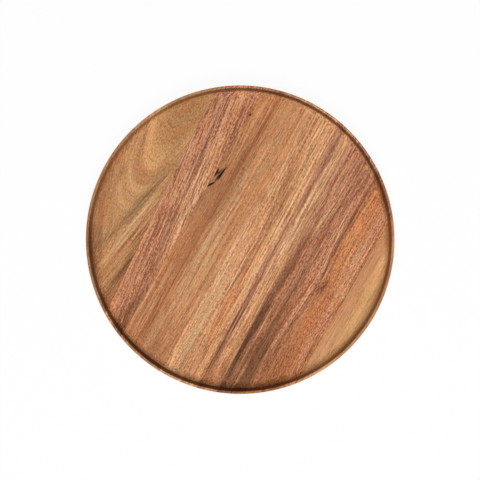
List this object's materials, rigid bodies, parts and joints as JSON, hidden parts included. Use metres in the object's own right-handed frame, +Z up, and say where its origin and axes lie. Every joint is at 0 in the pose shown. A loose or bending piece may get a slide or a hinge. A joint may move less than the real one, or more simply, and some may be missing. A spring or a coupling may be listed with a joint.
{
  "type": "serving plate",
  "caption": "Round wooden serving plate turned from an edge-glued panel of tapered acacia staves, with a flat well, a slim rounded rim and a shallow foot ring.",
  "frame": {"origin": "centre of the base, on the surface that the plate stands on", "axes": "+Z up along the axis of turning, +X along the grain of the staves, +Y across the joints towards the olive stave"},
  "size_m": [0.3, 0.3, 0.02],
  "materials": {
    "olive_sapwood": "oiled satin acacia, olive tan with a smoky streak",
    "red_streaked_acacia": "oiled satin acacia, salmon with plum streaks",
    "honey_acacia": "oiled satin acacia, honey brown",
    "tan_acacia": "oiled satin acacia, tan with rusty streaks",
    "dark_heartwood": "oiled satin acacia heartwood, reddish brown with dark bands",
    "pale_sapwood": "oiled satin acacia sapwood, pale yellow tan",
    "wood_glue": "cured wood glue, sanded flush"
  },
  "bodies": {
    "root": {"stave_1_olive": "olive_sapwood", "stave_2_red_streaked": "red_streaked_acacia", "stave_3_honey": "honey_acacia", "stave_4_tan": "tan_acacia", "stave_5_dark_heart": "dark_heartwood", "stave_6_pale": "pale_sapwood", "glue_line_1": "wood_glue", "glue_line_2": "wood_glue", "glue_line_3": "wood_glue", "glue_line_4": "wood_glue", "glue_line_5": "wood_glue"}
  },
  "joints": []
}
